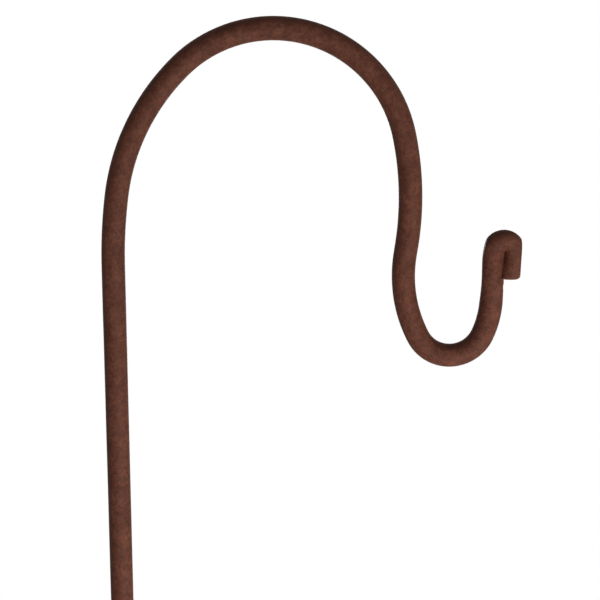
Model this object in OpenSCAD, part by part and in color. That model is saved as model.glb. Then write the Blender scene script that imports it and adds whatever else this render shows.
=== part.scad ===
// Shepherds hook: a bent bar that stands in a pronged ground tube, with a stop collar
// that sets its height. Millimetres. The origin is on the pole's axis at ground level,
// +Z is up, the crook reaches towards +X and the wing screw faces -Y.

/* [Bar] */
// Diameter of the bar that the crook is bent from
bar_d = 12.7; // [10:0.1:16]
// Height of the crook's top above the ground
crown_h = 1016; // [960:1:1300]
// Length of bar inside the tube
bar_insert = 250; // [120:1:380]
// Chamfer on the bar's lower end
bar_edge = 1; // [0.5:0.1:2]

/* [Crook bends] */
// Centreline radius of the first slow lean
lean_r = 275; // [220:5:400]
// Degrees turned in the lean
lean_angle = 8; // [4:0.5:12]
// Centreline radius of the arch's rising side
rise_r = 118; // [100:1:150]
// Degrees turned in the rising side
rise_angle = 38; // [30:0.5:45]
// Centreline radius over the crown
crown_r = 70.5; // [60:0.5:90]
// Degrees turned over the crown
crown_angle = 121.5; // [110:0.5:130]
// Centreline radius of the arch's falling side
drop_r = 165; // [120:5:200]
// Degrees turned in the falling side
drop_angle = 21; // [15:0.5:30]
// Straight length where the curve changes side
neck_len = 4; // [2:0.5:30]
// Centreline radius of the sweep into the small hook
sweep_r = 75; // [60:1:120]
// Degrees turned in that sweep
sweep_angle = 36; // [25:0.5:42]
// Centreline radius of the small hook's cup
cup_r = 19.5; // [17:0.5:30]
// Degrees turned in the cup
cup_angle = 129; // [115:0.5:135]
// Centreline radius of the small hook's rising side
flare_r = 53; // [35:1:80]
// Degrees turned in the rising side of the small hook
flare_angle = 23.5; // [15:0.5:32]

/* [Folded tip] */
// Diameter of the drawn-down end of the bar
tip_d = 10.6; // [8:0.1:12]
// Length over which the bar narrows to the tip
taper_len = 12; // [6:0.5:30]
// Straight length of narrowed bar below the fold
tip_leg = 14; // [10:0.5:30]
// Gap between the folded end and the bar that it lies against
fold_gap = 0.5; // [0.4:0.05:2]
// Length of the folded end below the fold
stub_len = 17; // [8:0.5:18]
// Rounding of the folded end's edge
stub_edge = 2; // [0.5:0.1:3]

/* [Pole tube] */
// Height of the tube's mouth above the ground
tube_h = 560; // [450:1:700]
// Wall of the tube
tube_wall = 1.55; // [1.2:0.05:3]
// Radial running gap between the bar and the bores that it slides in
slide_gap = 0.09; // [0.05:0.01:0.1]
// Chamfer on the outer edge of the tube's mouth
mouth_edge = 0.5; // [0.2:0.1:0.8]

/* [Stop collar] */
// Wall of the collar
collar_wall = 5.56; // [4:0.1:8]
// Height of the collar
collar_h = 14; // [11:0.5:20]
// Chamfer on the collar's edges
collar_edge = 1; // [0.3:0.1:1.5]
// Gap between the collar and the tube's mouth that it rests on
seat_gap = 0.05; // [0.02:0.01:0.2]

/* [Wing screw] */
// Thread diameter
screw_d = 6; // [5:0.5:8]
// Radial gap between the thread and its hole in the collar
thread_gap = 0.05; // [0.02:0.01:0.1]
// Gap between the screw's point and the bar when it is tight
tip_gap = 0.05; // [0.02:0.01:0.2]
// Chamfer on the screw's point
screw_edge = 1; // [0.5:0.1:1.5]
// Thread that shows between the collar and the wings when it is tight
thread_show = 8; // [4:0.5:15]
// Diameter of the wings' hub
hub_d = 12; // [11:0.5:18]
// Length of the wings' hub
hub_len = 10; // [8:0.5:16]
// Chamfer on the hub's outer end
hub_edge = 1.2; // [0.5:0.1:1.5]
// Depth that the shank reaches into the hub
socket_depth = 7; // [5:0.5:7.5]
// Radial gap between the shank and its socket in the hub
socket_gap = 0.03; // [0.02:0.01:0.1]
// Span over both wings
wing_span = 28; // [24:0.5:40]
// Thickness of the wings
wing_t = 3.6; // [2.5:0.1:6]
// Radius of each wing's round end
ear_r = 4.5; // [3.5:0.1:5]

/* [Ground spike] */
// Length of the spike below the ground
spike_len = 203; // [150:1:300]
// Diameter of the spike
spike_d = 14.3; // [13.9:0.1:15.5]
// Length of the spike's point
spike_point = 28; // [15:1:45]
// Diameter of the point's blunt end
spike_tip_d = 1.5; // [1:0.1:4]
// Length of the plug inside the tube
plug_len = 40; // [34:1:60]
// Radial gap between the plug and the tube's bore
plug_gap = 0.03; // [0.01:0.01:0.1]
// Diameter of the plug welds
plug_weld_d = 8; // [6:0.5:9]
// Height of the plug welds above the ground
plug_weld_z = 24; // [20:0.5:27]
// How far a weld's face stands proud of the tube
weld_proud = 0.5; // [0.2:0.1:1]

/* [Prongs] */
// Diameter of the prong rod
prong_d = 6.35; // [5:0.05:8]
// Diameter of the circle that the prongs' legs stand on
prong_circle = 110; // [80:1:160]
// Depth of the prongs' points below the ground
prong_depth = 150; // [90:1:190]
// Centreline radius of the prongs' bend
prong_bend_r = 12; // [8:0.5:20]
// Length of the prongs' points
prong_point = 18; // [10:1:30]
// Diameter of the points' blunt ends
prong_tip_d = 1; // [0.8:0.1:2]
// Height of the arms' undersides above the tube's lower edge
arm_lift = 0.5; // [0.3:0.1:10]
// Leg of the fillet welds
weld_leg = 2; // [1.2:0.1:2.2]
// Thickness of the welds' thin outer edge
weld_toe = 0.3; // [0.2:0.05:0.6]

/* [Hidden] */
$fn = 96;

coat_colour = "#603c31";
zinc_colour = "#b9bcc0";
wing_colour = "#1d1d1f";

// In degrees
RIGHT_ANGLE = 90;
// Straight up from the ground, measured from +X
UP = RIGHT_ANGLE;

bore_d = bar_d + 2 * slide_gap;
tube_od = bore_d + 2 * tube_wall;
collar_od = bore_d + 2 * collar_wall;
collar_z = tube_h + seat_gap;
screw_z = collar_z + collar_h / 2;
bar_foot_z = tube_h - bar_insert;

// The height gained from the first bend up to the crown, where the bar runs level
lean_head = UP - lean_angle;
rise_head = lean_head - rise_angle;
lean_gain = lean_r * cos(lean_head);
rise_gain = rise_r * (cos(rise_head) - cos(lean_head));
crown_gain = crown_r * (1 - cos(rise_head));
bend_z = crown_h - bar_d / 2 - lean_gain - rise_gain - crown_gain;

// The fold is wide enough for the gap beside the narrowed bar
fold_r = (tip_d + fold_gap) / 2;
// Every run of the bar from its foot to the folded end, in order:
// [radius, degrees turned, diameters at its ends] for a bend, positive to the left,
// and [0, length, diameters at its ends] for a straight.
RUNS = [
  [0, bend_z - bar_foot_z - bar_edge, bar_d, bar_d],
  [lean_r, -lean_angle, bar_d, bar_d],
  [rise_r, -rise_angle, bar_d, bar_d],
  [crown_r, -crown_angle, bar_d, bar_d],
  [drop_r, -drop_angle, bar_d, bar_d],
  [0, neck_len, bar_d, bar_d],
  [sweep_r, sweep_angle, bar_d, bar_d],
  [cup_r, cup_angle, bar_d, bar_d],
  [flare_r, flare_angle, bar_d, bar_d],
  [0, taper_len, bar_d, tip_d],
  [0, tip_leg, tip_d, tip_d],
  [fold_r, -180, tip_d, tip_d]
];
// Every second run is a hair thinner and laps a little into both of its neighbours,
// so that the runs join without two surfaces lying on each other.
hair = 0.03;
lap = 0.3;

// A stage is [x, z, heading] of the bar's centreline where a run begins
function bend_centre(s, r, turn) =
  [s[0] - sign(turn) * r * sin(s[2]), s[1] + sign(turn) * r * cos(s[2])];
function after_straight(s, len) = [s[0] + len * cos(s[2]), s[1] + len * sin(s[2]), s[2]];
function after_bend(s, r, turn) =
  let (c = bend_centre(s, r, turn), h = s[2] + turn)
  [c[0] + sign(turn) * r * sin(h), c[1] - sign(turn) * r * cos(h), h];
function after_run(s, run) =
  run[0] == 0 ? after_straight(s, run[1]) : after_bend(s, run[0], run[1]);
function stage(i) =
  i == 0 ? [0, bar_foot_z + bar_edge, UP] : after_run(stage(i - 1), RUNS[i - 1]);

// Places a shape that is drawn along +Z at a stage, pointing along the heading
module at_stage(s) {
  translate([s[0], 0, s[1]]) rotate([0, UP - s[2], 0]) children();
}

// A bent length of round bar from a stage, lapped into its neighbours
module bent_run(s, r, turn, d, over = 0) {
  c = bend_centre(s, r, turn);
  over_angle = over / r * 2 * RIGHT_ANGLE / PI;
  start_angle = s[2] - sign(turn) * RIGHT_ANGLE + min(turn, 0) - over_angle;
  translate([c[0], 0, c[1]])
    rotate([90, 0, 0])
      rotate([0, 0, start_angle])
        rotate_extrude(angle = abs(turn) + 2 * over_angle)
          translate([r, 0]) circle(d = d);
}

// Run number i of the bar
module bar_run(i) {
  run = RUNS[i];
  odd = i % 2;
  thin = odd * 2 * hair;
  over = odd * lap;
  if (run[0] == 0)
    at_stage(stage(i)) translate([0, 0, -over])
      cylinder(h = run[1] + 2 * over, d1 = run[2] - thin, d2 = run[3] - thin);
  else
    bent_run(stage(i), run[0], run[1], run[2] - thin, over);
}

// A rod that ends in a round-edged flat face
module blunt_end(len, d, edge) {
  rotate_extrude() {
    square([d / 2 - edge, len]);
    square([d / 2, len - edge]);
    translate([d / 2 - edge, len - edge]) intersection() {
      circle(r = edge);
      square(edge);
    }
  }
}

module crook_bar() {
  color(coat_colour) {
    translate([0, 0, bar_foot_z])
      cylinder(h = bar_edge, d1 = bar_d - 2 * bar_edge, d2 = bar_d);
    for (i = [0 : len(RUNS) - 1]) bar_run(i);
    at_stage(stage(len(RUNS))) blunt_end(stub_len, tip_d, stub_edge);
  }
}

// A hole or a weld across the tube's wall, on both sides, for the plug welds
module plug_weld_rods(reach) {
  for (side = [-1, 1])
    translate([0, 0, plug_weld_z])
      rotate([0, side * 90, 0])
        cylinder(h = reach, d = plug_weld_d);
}

module pole_tube() {
  color(coat_colour)
    difference() {
      union() {
        cylinder(h = tube_h - mouth_edge, d = tube_od);
        translate([0, 0, tube_h - mouth_edge])
          cylinder(h = mouth_edge, d1 = tube_od, d2 = tube_od - 2 * mouth_edge);
      }
      translate([0, 0, -1]) cylinder(h = tube_h + 2, d = bore_d);
      plug_weld_rods(tube_od);
    }
}

module stop_collar() {
  color(coat_colour)
    difference() {
      translate([0, 0, collar_z]) {
        cylinder(h = collar_edge, d1 = collar_od - 2 * collar_edge, d2 = collar_od);
        translate([0, 0, collar_edge])
          cylinder(h = collar_h - 2 * collar_edge, d = collar_od);
        translate([0, 0, collar_h - collar_edge])
          cylinder(h = collar_edge, d1 = collar_od, d2 = collar_od - 2 * collar_edge);
      }
      translate([0, 0, collar_z - 1]) cylinder(h = collar_h + 2, d = bore_d);
      translate([0, 0, screw_z])
        rotate([90, 0, 0])
          cylinder(h = collar_od, d = screw_d + 2 * thread_gap);
    }
}

// Distances along the screw's axis, out from the bar's centre
screw_tip = bar_d / 2 + tip_gap;
hub_from = collar_od / 2 + thread_show;
shank_end = hub_from + socket_depth;

// Places a shape that is drawn along +Z on the screw's axis, pointing out at -Y
module on_screw_axis(out) {
  translate([0, -out, screw_z]) rotate([90, 0, 0]) children();
}

module screw_shank() {
  color(zinc_colour)
    on_screw_axis(screw_tip) {
      cylinder(h = screw_edge, d1 = screw_d - 2 * screw_edge, d2 = screw_d);
      translate([0, 0, screw_edge])
        cylinder(h = shank_end - screw_tip - screw_edge, d = screw_d);
    }
}

// Outline of both wings, seen along the wings' thickness, with the hub's foot at y = 0
module wing_outline() {
  ear_x = wing_span / 2 - ear_r;
  for (side = [-1, 1]) {
    translate([side * ear_x, hub_len - ear_r / 2]) circle(r = ear_r);
    polygon([
      [0, hub_edge],
      [side * hub_d / 2, hub_edge],
      [side * ear_x, hub_len - 1.5 * ear_r],
      [side * ear_x, hub_len - ear_r / 2],
      [0, hub_len - hub_edge]
    ]);
  }
}

module screw_wings() {
  color(wing_colour)
    on_screw_axis(hub_from)
      difference() {
        union() {
          cylinder(h = hub_len - hub_edge, d = hub_d);
          translate([0, 0, hub_len - hub_edge])
            cylinder(h = hub_edge, d1 = hub_d, d2 = hub_d - 2 * hub_edge);
          rotate([90, 0, 0])
            linear_extrude(height = wing_t, center = true) wing_outline();
        }
        translate([0, 0, -1])
          cylinder(h = socket_depth + 1 + socket_gap, d = screw_d + 2 * socket_gap);
      }
}

plug_d = bore_d - 2 * plug_gap;

// The plug, the shaft and the point, each on the end of the one before
module ground_spike() {
  color(coat_colour) {
    cylinder(h = plug_len - bar_edge, d = plug_d);
    translate([0, 0, plug_len - bar_edge])
      cylinder(h = bar_edge, d1 = plug_d, d2 = plug_d - 2 * bar_edge);
    translate([0, 0, spike_point - spike_len])
      cylinder(h = spike_len - spike_point, d = spike_d);
    translate([0, 0, -spike_len])
      cylinder(h = spike_point, d1 = spike_tip_d, d2 = spike_d);
  }
}

module plug_welds() {
  color(coat_colour)
    difference() {
      plug_weld_rods(tube_od / 2 + weld_proud);
      translate([0, 0, plug_weld_z - plug_weld_d])
        cylinder(h = 2 * plug_weld_d, d = plug_d);
    }
}

// Height of the arms' axis
arm_z = prong_d / 2 + arm_lift;
leg_x = prong_circle / 2;

// The tube's outside at the prongs, which the arms and their welds are cut to
module tube_side() {
  translate([0, 0, -prong_d]) cylinder(h = arm_z + 3 * prong_d, d = tube_od);
}

// One prong: an arm out along +X, a bend and a pointed leg down
module prong() {
  leg_len = prong_depth + arm_z - prong_bend_r - prong_point;
  difference() {
    translate([0, 0, arm_z])
      rotate([0, 90, 0])
        cylinder(h = leg_x - prong_bend_r, d = prong_d);
    tube_side();
  }
  bent_run([leg_x - prong_bend_r, arm_z, 0], prong_bend_r, -90, prong_d);
  translate([leg_x, 0, prong_point - prong_depth]) cylinder(h = leg_len, d = prong_d);
  translate([leg_x, 0, -prong_depth])
    cylinder(h = prong_point, d1 = prong_tip_d, d2 = prong_d);
}

// The weld round one arm, where it meets the tube above the tube's lower edge
module prong_weld() {
  difference() {
    translate([0, 0, arm_z])
      rotate([0, 90, 0]) {
        cylinder(h = tube_od / 2, d = prong_d + 2 * weld_leg);
        translate([0, 0, tube_od / 2])
          cylinder(h = weld_leg, d1 = prong_d + 2 * weld_leg, d2 = prong_d + 2 * weld_toe);
      }
    translate([0, 0, arm_z])
      rotate([0, 90, 0])
        cylinder(h = tube_od, d = prong_d);
    tube_side();
    translate([0, -tube_od, -tube_od]) cube([2 * tube_od, 2 * tube_od, tube_od]);
  }
}

module turned_prong(angle) {
  color(coat_colour) rotate([0, 0, angle]) prong();
}

module prong_front_left() { turned_prong(225); }
module prong_front_right() { turned_prong(315); }
module prong_back_left() { turned_prong(135); }
module prong_back_right() { turned_prong(45); }

module prong_welds() {
  color(coat_colour)
    for (angle = [45 : 90 : 315])
      rotate([0, 0, angle]) prong_weld();
}

crook_bar();
pole_tube();
stop_collar();
screw_shank();
screw_wings();
ground_spike();
plug_welds();
prong_front_left();
prong_front_right();
prong_back_left();
prong_back_right();
prong_welds();
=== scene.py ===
# %% [markdown]
# # A shepherds hook
# The hook is one bent bar that stands in a pronged ground tube. A collar with a wing screw
# sets its height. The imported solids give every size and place, and this lesson builds a
# finished mesh round each of them: bent, turned, threaded, moulded or welded, as the real
# piece is. Everything is in metres, +Z is up and the ground is at z = 0.

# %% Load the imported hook
import math

import bmesh
import bpy
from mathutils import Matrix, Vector


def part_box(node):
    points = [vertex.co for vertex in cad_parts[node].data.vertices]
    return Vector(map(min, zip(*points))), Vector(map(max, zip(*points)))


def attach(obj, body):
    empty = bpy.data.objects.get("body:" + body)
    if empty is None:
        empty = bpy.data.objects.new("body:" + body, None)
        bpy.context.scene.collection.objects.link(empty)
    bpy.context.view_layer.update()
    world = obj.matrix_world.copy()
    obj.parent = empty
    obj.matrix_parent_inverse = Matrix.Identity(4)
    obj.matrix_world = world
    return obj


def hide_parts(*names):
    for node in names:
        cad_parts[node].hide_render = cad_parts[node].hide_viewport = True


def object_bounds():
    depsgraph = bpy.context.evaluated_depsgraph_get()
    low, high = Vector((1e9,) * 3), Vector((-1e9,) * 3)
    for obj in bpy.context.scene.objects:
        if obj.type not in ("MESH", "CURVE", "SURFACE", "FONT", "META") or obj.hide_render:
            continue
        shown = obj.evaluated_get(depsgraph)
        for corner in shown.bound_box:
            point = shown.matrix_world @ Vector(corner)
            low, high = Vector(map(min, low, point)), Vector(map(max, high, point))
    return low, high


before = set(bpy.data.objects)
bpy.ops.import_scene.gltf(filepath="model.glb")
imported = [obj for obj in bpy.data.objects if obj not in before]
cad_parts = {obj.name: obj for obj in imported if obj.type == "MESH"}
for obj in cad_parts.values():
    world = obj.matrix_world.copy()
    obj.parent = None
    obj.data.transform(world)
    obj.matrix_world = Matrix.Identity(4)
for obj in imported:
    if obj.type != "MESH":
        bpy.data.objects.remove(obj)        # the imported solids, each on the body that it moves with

MM = 0.001
cad_low, cad_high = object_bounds()
print("solids from", tuple(cad_low), "to", tuple(cad_high))

# %% [markdown]
# ## Camera
# The photograph looks a little down on the crook from the front. A long lens at a short
# distance gives the same mild perspective. The camera looks along +Y, with +X to the right,
# so only its dip below the horizon has to be set.

# %% Camera
LENS = 90
SENSOR = 36
EYE = Vector((100.4, -792.1, 1037.1)) * MM
# An unturned camera looks straight down, so this turn makes it level
LEVEL_VIEW = 90
CAMERA_DIP = 12.26

tilt = math.radians(LEVEL_VIEW - CAMERA_DIP)
bpy.ops.object.camera_add(location=EYE, rotation=(tilt, 0, 0))
camera = bpy.context.active_object
camera.data.lens = LENS
camera.data.sensor_width = SENSOR
bpy.context.scene.camera = camera
print("camera at", tuple(EYE), "dipped", CAMERA_DIP, "degrees")

# %% [markdown]
# ## Helpers for working in edit mode
# A modelling operator acts on whatever is selected. Each step therefore clears the selection,
# adds its primitive, and then selects faces, edges or vertices by a test on their place.

# %% Start a piece and select in it
def clear_selection():
    """Leaves no object selected."""
    bpy.ops.object.select_all(action="DESELECT")


def begin(name):
    """Names the primitive just added, puts its place into its mesh and opens it."""
    piece = bpy.context.active_object
    piece.name = piece.data.name = name
    bpy.ops.object.transform_apply(location=True, rotation=True, scale=True)
    bpy.ops.object.mode_set(mode="EDIT")
    return piece


def middle(part):
    """The centre of a vertex, an edge or a face."""
    corners = [part] if isinstance(part, bmesh.types.BMVert) else part.verts
    return sum((corner.co for corner in corners), Vector()) / len(corners)


def pick(piece, kind, test):
    """Selects the vertices, edges or faces whose centre passes a test."""
    bpy.ops.mesh.select_mode(type=kind)
    bpy.ops.mesh.select_all(action="DESELECT")
    shape = bmesh.from_edit_mesh(piece.data)
    parts = {"VERT": shape.verts, "EDGE": shape.edges, "FACE": shape.faces}[kind]
    found = [part for part in parts if test(middle(part))]
    for part in found:
        part.select_set(True)
    shape.select_flush_mode()
    bmesh.update_edit_mesh(piece.data)
    return len(found)


# %% Close a piece and report on it
MERGE = 0.001 * MM
SHARP_DEGREES = 35


def close(piece, sharp_degrees=SHARP_DEGREES):
    """Merges doubles, turns every face outwards, smooths the shading and reports."""
    bpy.ops.mesh.select_all(action="SELECT")
    bpy.ops.mesh.remove_doubles(threshold=MERGE)
    bpy.ops.mesh.normals_make_consistent(inside=False)
    bpy.ops.object.mode_set(mode="OBJECT")
    bpy.ops.object.shade_smooth_by_angle(angle=math.radians(sharp_degrees))
    report(piece)


def report(piece):
    """Prints the number of faces, the open edges, the size and the volume of a piece."""
    shape = bmesh.new()
    shape.from_mesh(piece.data)
    open_edges = sum(1 for edge in shape.edges if len(edge.link_faces) != 2)
    volume = shape.calc_volume(signed=True) / MM**3
    size = " x ".join(f"{side / MM:.1f}" for side in piece.dimensions)
    counts = f"{len(shape.faces)} faces, {open_edges} open edges"
    print(f"{piece.name}: {counts}, {size} mm, {volume:.0f} mm3")
    shape.free()


# %% [markdown]
# ## The crook
# The real crook is one round bar, bent cold against formers. It could be a curve with a round
# bevel, but a curve can't be pressed flat where the bar's end is folded back on itself. So the
# bar is grown as a smith would bend it: a disc is extruded up the pole and then spun about
# the centre of each bend in turn, and the end that has just been made stays selected.

# %% Sizes of the bar
bar_low, bar_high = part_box("crook_bar")
bar_r = -bar_low.x
bar_foot = bar_low.z
crown_h = bar_high.z
FOOT_EDGE = 1 * MM
BAR_SIDES = 56

# Radius and degrees turned of each bend, in order from the pole; left turns are positive
ARCH = [(275 * MM, -8), (118 * MM, -38), (70.5 * MM, -121.5), (165 * MM, -21)]
NECK = 4 * MM
NECK_RINGS = 2
SMALL_HOOK = [(75 * MM, 36), (19.3 * MM, 129), (53 * MM, 18.5)]
# The last bend of the small hook, over which the bar is drawn down
DRAWN_BEND_R = 150 * MM
DRAWN_TURN = 5

UPRIGHT = 90
head = UPRIGHT
# The first bend starts this far up, measured down from the crown, where the bar runs level
bend_start = crown_h - bar_r
for radius, degrees in ARCH:
    after = max(head + degrees, 0)
    bend_start -= radius * (math.cos(math.radians(after)) - math.cos(math.radians(head)))
    head = after
print("bar radius", round(bar_r / MM, 2), "and bends from", round(bend_start / MM, 1), "mm up")

# %% Steps along the bar
RING_GAP = 1.6 * MM
RING_TURN = 5


def go_straight(end, length, rings):
    """Extrudes the selected end of the bar along its heading, in equal rings."""
    x, z, heading = end
    step = length / rings
    move = Vector((math.cos(heading), 0, math.sin(heading))) * step
    for _ in range(rings):
        bpy.ops.mesh.extrude_region_move(TRANSFORM_OT_translate={"value": move})
    return x + rings * move.x, z + rings * move.z, heading


def go_round(end, radius, degrees):
    """Spins the selected end of the bar about the centre of a bend."""
    x, z, heading = end
    side = math.copysign(radius, degrees)
    centre = Vector((x - side * math.sin(heading), 0, z + side * math.cos(heading)))
    turn = math.radians(degrees)
    rings = math.ceil(max(abs(turn) * radius / RING_GAP, abs(degrees) / RING_TURN))
    bpy.ops.mesh.spin(steps=rings, angle=turn, center=centre, axis=(0, 1, 0))
    heading += turn
    return centre.x + side * math.sin(heading), centre.z - side * math.cos(heading), heading


def swell(end, factor):
    """Scales the selected end of the bar about its own centre."""
    bpy.ops.transform.resize(value=(factor, factor, factor), center_override=(end[0], 0, end[1]))


# %% Bend the bar from its foot to the start of the fold
TIP_R = 5.9 * MM
DRAWN_RINGS = 6
LEG = 16.6 * MM
LEG_RINGS = 8
POLE_RINGS = 60

clear_selection()
bpy.ops.mesh.primitive_circle_add(
    vertices=BAR_SIDES, radius=bar_r - FOOT_EDGE, fill_type="NGON", location=(0, 0, bar_foot)
)
crook = begin("coated_crook_bar")
bpy.ops.mesh.select_all(action="SELECT")
end = go_straight((0, bar_foot, math.radians(UPRIGHT)), FOOT_EDGE, 1)
swell(end, bar_r / (bar_r - FOOT_EDGE))
end = go_straight(end, bend_start - end[1], POLE_RINGS)
for radius, degrees in ARCH:
    end = go_round(end, radius, degrees)
end = go_straight(end, NECK, NECK_RINGS)
for radius, degrees in SMALL_HOOK:
    end = go_round(end, radius, degrees)
for ring in range(DRAWN_RINGS):
    wide = bar_r + (TIP_R - bar_r) * ring / DRAWN_RINGS
    narrow = bar_r + (TIP_R - bar_r) * (ring + 1) / DRAWN_RINGS
    end = go_round(end, DRAWN_BEND_R, DRAWN_TURN / DRAWN_RINGS)
    swell(end, narrow / wide)
end = go_straight(end, LEG, LEG_RINGS)
print("fold starts at", [round(value / MM, 2) for value in end[:2]])

# %% [markdown]
# ## The folded tip
# The end of the bar is hammered back against itself, so the two runs touch in a flat and the
# bar goes round a fold with no inner radius. The end ring is pressed flat on its right side,
# which makes it a D. The D is spun half a turn about its flat, and that gives the domed top
# of the fold. The outer side is hammered flat too, and the blunt end has a rounded edge.

# %% Press the end ring and fold it over
PRESSED = 0.3 * MM
# HAIR keeps two surfaces apart and is too fine to see, and NEAR is the reach of a test
HAIR = 0.01 * MM
NEAR = 5 * HAIR
STUB_FOOT = 876.8 * MM
STUB_WIDTH = 9.0 * MM
FOLD_RINGS = 36

seam_x = end[0] + TIP_R - PRESSED
fold_z = end[1]


def press(low, x):
    """Presses what lies above a height and right of an upright plane flat onto the plane."""
    count = pick(crook, "VERT", lambda at: at.z > low and at.x > x)
    bpy.ops.transform.resize(value=(0, 1, 1), center_override=(x, 0, low))
    return count


def pick_fold_end(x):
    """Selects the end face that lies level with the fold, round about a place."""
    return pick(
        crook, "FACE", lambda at: abs(at.z - fold_z) < NEAR and abs(at.x - x) < TIP_R / 2
    )


# The leg is pressed from half a ring above the foot of the stub
press_from = STUB_FOOT + LEG / LEG_RINGS / 2
count = press(press_from, seam_x - HAIR)
print(count, "vertices pressed at", round(seam_x / MM, 2))
print(pick_fold_end(end[0]), "end face")
bpy.ops.mesh.spin(steps=FOLD_RINGS, angle=-math.pi, center=(seam_x, 0, fold_z), axis=(0, 1, 0))
print(press(STUB_FOOT, seam_x + STUB_WIDTH), "vertices hammered on the outer side")

# %% Run the folded end down to its blunt foot
STUB_RINGS = 8
STUB_EDGE = 2.8 * MM
EDGE_RINGS = 6
END_INSET = 0.8 * MM

print(pick_fold_end(seam_x + STUB_WIDTH / 2), "end face")
end = (seam_x + HAIR, fold_z, math.radians(-UPRIGHT))
end = go_straight(end, fold_z - STUB_FOOT - STUB_EDGE, STUB_RINGS)
width = STUB_WIDTH
for ring in range(EDGE_RINGS):
    here, there = (math.radians(UPRIGHT) * (ring + step) / EDGE_RINGS for step in (0, 1))
    end = go_straight(end, STUB_EDGE * (math.sin(there) - math.sin(here)), 1)
    narrower = STUB_WIDTH - STUB_EDGE * (1 - math.cos(there))
    swell(end, narrower / width)
    width = narrower
bpy.ops.mesh.inset(thickness=END_INSET)
print("folded end runs down to", round(end[1] / MM, 2))

# %% [markdown]
# ## Hammered by hand
# The blows never fell quite square: the flats lean, the left shoulder is knocked down and
# every edge is soft. A flat is turned about its middle. Proportional editing takes the metal
# round the seam along with it, less and less.

# %% Tests and turns for the hammered fold
SMOOTHING = 0.5

middle_z = (fold_z + STUB_FOOT) / 2
outer_x = seam_x + STUB_WIDTH


def on_flat(at, x, high, reach=2 * HAIR):
    """Tells whether a place is on an upright flat of the fold, up to a height."""
    return abs(at.x - x) < reach and STUB_FOOT - HAIR < at.z < high


def on_seam(at):
    """Tells whether a place is where the two runs touch."""
    return on_flat(at, seam_x, fold_z + NEAR)


def lean(x, degrees, **falloff):
    """Turns what is selected clockwise about the middle of a flat."""
    bpy.ops.transform.rotate(
        value=-math.radians(degrees), orient_axis="Y", center_override=(x, 0, middle_z), **falloff
    )


def soften(test, repeat):
    """Smooths the crook's vertices whose place passes a test, and returns their number."""
    count = pick(crook, "VERT", test)
    bpy.ops.mesh.vertices_smooth(factor=SMOOTHING, repeat=repeat)
    return count


# %% Lean the outer flat and hammer the shoulder
PIVOT_MERGE = 4 * HAIR
# Leans and slants are in degrees
FLAT_LEAN = 2.2
SHOULDER_SLANT = 12.3
SHOULDER_UP = 2.8 * MM
SHOULDER_CUT = 1.27 * MM
SHOULDER_REACH = 6 * MM
SHOULDER_DOWN = 4 * MM

# The rings of the fold meet in the line that they were spun about
pick(crook, "VERT", lambda at: on_seam(at) and at.z > fold_z - NEAR)
bpy.ops.mesh.remove_doubles(threshold=PIVOT_MERGE)
count = pick(crook, "VERT", lambda at: on_flat(at, outer_x, fold_z + STUB_WIDTH))
print(count, "vertices leaned in the outer flat")
lean(outer_x, FLAT_LEAN)
# One blow on the left shoulder, at a slant: the bar is turned so that the blow falls upright
left_x = seam_x + PRESSED - 2 * TIP_R
blow_x = left_x + SHOULDER_CUT
bpy.ops.mesh.select_all(action="SELECT")
shoulder = {"orient_axis": "Y", "center_override": (left_x, 0, fold_z + SHOULDER_UP)}
bpy.ops.transform.rotate(value=math.radians(SHOULDER_SLANT), **shoulder)
count = pick(
    crook, "VERT",
    lambda at: left_x - SHOULDER_REACH < at.x < blow_x and at.z > fold_z - SHOULDER_DOWN,
)
bpy.ops.transform.resize(value=(0, 1, 1), center_override=(blow_x, 0, fold_z))
bpy.ops.mesh.select_all(action="SELECT")
bpy.ops.transform.rotate(value=math.radians(-SHOULDER_SLANT), **shoulder)
print(count, "vertices hammered on the shoulder")

# %% Soften the fold and lean its seam
FOLD_SOFTEN = 3
SOFTEN_REACH = 2.2 * TIP_R
SEAM_LAP = 0.05 * MM
SEAM_LEAN = 5.5
SEAM_SHIFT = -0.6 * MM
LEAN_REACH = 5 * MM

tip_foot = STUB_FOOT - STUB_EDGE
tip_left = seam_x - SOFTEN_REACH
count = soften(
    lambda at: at.z > tip_foot and at.x > tip_left and not on_seam(at), FOLD_SOFTEN
)
print(count, "vertices softened round the fold")
# Each run laps a little into the other, and a Boolean joins them further down
for side in (-1, 1):
    pick(crook, "VERT", lambda at: on_seam(at) and 0 < (at.x - seam_x) * side)
    bpy.ops.transform.translate(value=(-side * SEAM_LAP, 0, 0))
# The seam's own vertices are turned and shifted, and the metal round it follows
around = {
    "use_proportional_edit": True,
    "proportional_edit_falloff": "SMOOTH",
    "proportional_size": LEAN_REACH,
}
count = pick(crook, "VERT", lambda at: on_flat(at, seam_x, fold_z + NEAR, 2 * SEAM_LAP))
print(count, "vertices leaned in the seam")
lean(seam_x, SEAM_LEAN, **around)
bpy.ops.transform.translate(value=(SEAM_SHIFT, 0, 0), **around)
close(crook)

# %% [markdown]
# ## Fusing the fold
# The coat bridges the two hammered runs: it fills the groove between them, and at the foot of
# the stub they are one. An egg-shaped smear of metal goes there. One Boolean joins it and the
# two lapped runs into a single closed surface, and the groove is smoothed to a soft valley.

# %% Helpers for modifiers and cuts
def work_on(piece):
    """Makes a piece the only one selected, and the active one."""
    clear_selection()
    bpy.context.view_layer.objects.active = piece
    piece.select_set(True)


def modify(piece, kind, **settings):
    """Adds a modifier with its settings and applies it."""
    work_on(piece)
    bpy.ops.object.modifier_add(type=kind)
    modifier = piece.modifiers[-1]
    for name, value in settings.items():
        setattr(modifier, name, value)
    bpy.ops.object.modifier_apply(modifier=modifier.name)


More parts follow.
